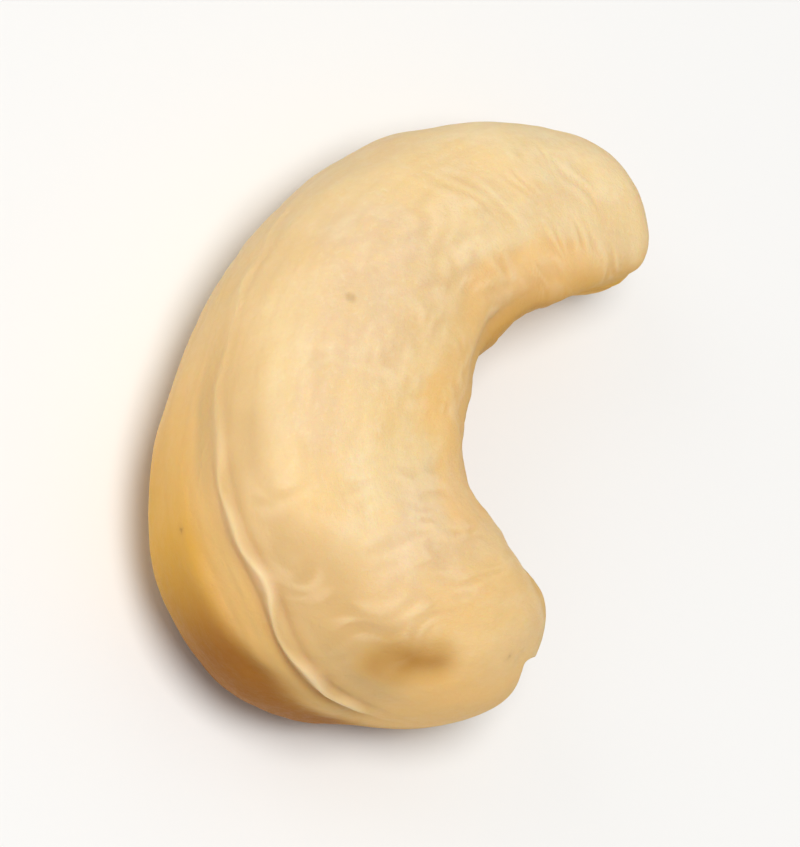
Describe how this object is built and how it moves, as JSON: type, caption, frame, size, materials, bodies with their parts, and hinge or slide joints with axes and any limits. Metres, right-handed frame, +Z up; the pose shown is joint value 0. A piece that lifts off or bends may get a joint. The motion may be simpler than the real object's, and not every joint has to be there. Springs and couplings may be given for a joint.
{
  "type": "cashew kernel",
  "caption": "Whole shelled cashew kernel lying on its side: a bent, plump bean with a slim rounded arm, a broad back, a blunt nose and a seam round its edge.",
  "frame": {"origin": "centre of the kernel's box in X and Y, on the surface that the kernel lies on", "axes": "+Z up from that surface, +Y along the kernel's length towards the slim arm, +X out of the hollow of the bend"},
  "size_m": [0.0184, 0.0278, 0.01],
  "materials": {
    "kernel": "waxy satin"
  },
  "bodies": {
    "root": {"kernel": "kernel"}
  },
  "joints": []
}
